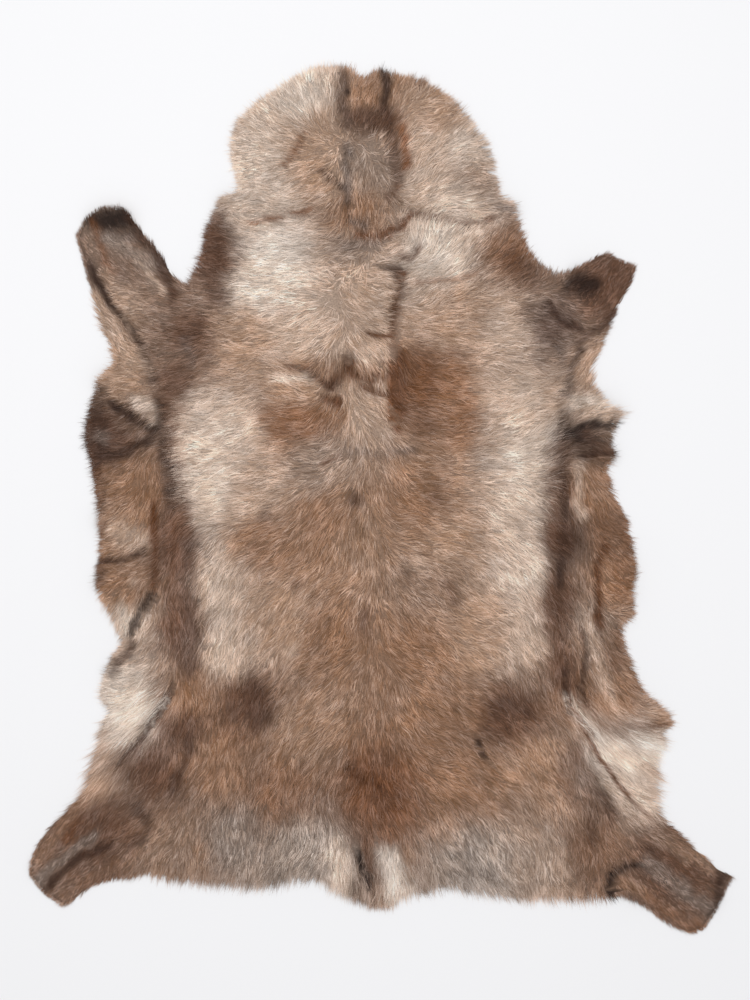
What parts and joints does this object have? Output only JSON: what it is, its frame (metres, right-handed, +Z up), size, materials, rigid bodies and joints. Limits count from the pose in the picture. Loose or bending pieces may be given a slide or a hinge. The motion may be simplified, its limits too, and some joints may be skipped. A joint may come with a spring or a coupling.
{
  "type": "reindeer hide",
  "caption": "Tanned reindeer hide with its hair on, laid flat hair side up: broad back, rounded neck, four spread leg ends, short tail and soft folds along both flanks.",
  "frame": {"origin": "under the middle of the hide's bounding box, on the surface that it lies on", "axes": "+Y towards the neck and -Y towards the tail, +Z up out of the hair side, +X to the right of someone who looks down on the hair side with the neck away from them"},
  "size_m": [1.057, 1.3054, 0.0317],
  "materials": {
    "hide_fur": "dense straight hair over suede, matt with a faint sheen"
  },
  "bodies": {
    "root": {"reindeer_hide": "hide_fur"}
  },
  "joints": []
}
